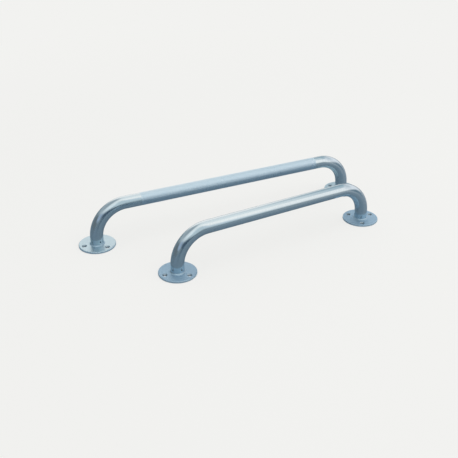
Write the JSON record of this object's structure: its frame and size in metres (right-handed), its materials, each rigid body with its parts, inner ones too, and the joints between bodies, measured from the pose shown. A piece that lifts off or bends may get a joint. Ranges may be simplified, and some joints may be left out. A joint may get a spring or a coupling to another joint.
{
  "type": "grab bar set",
  "caption": "Pair of wall grab bars, one long and one short: bent steel tubes welded into round screw flanges.",
  "frame": {"origin": "middle of the set's box in X and Y, on the face that the flanges' undersides rest on", "axes": "+Z away from that face; +X along the bars, the longest way across the set; +Y from the short bar to the long one"},
  "size_m": [0.6746, 0.255, 0.0975],
  "materials": {
    "long_tube_steel": "polished stainless steel, with a satin textured grip along the straight run",
    "short_tube_steel": "polished stainless steel",
    "flange_steel": "polished stainless steel plate with a rounded rim",
    "weld_steel": "smooth dressed weld"
  },
  "bodies": {
    "root": {"long_bar_tube": "long_tube_steel", "long_bar_left_flange": "flange_steel", "long_bar_right_flange": "flange_steel", "long_bar_left_weld": "weld_steel", "long_bar_right_weld": "weld_steel", "short_bar_tube": "short_tube_steel", "short_bar_left_flange": "flange_steel", "short_bar_right_flange": "flange_steel", "short_bar_left_weld": "weld_steel", "short_bar_right_weld": "weld_steel"}
  },
  "joints": []
}
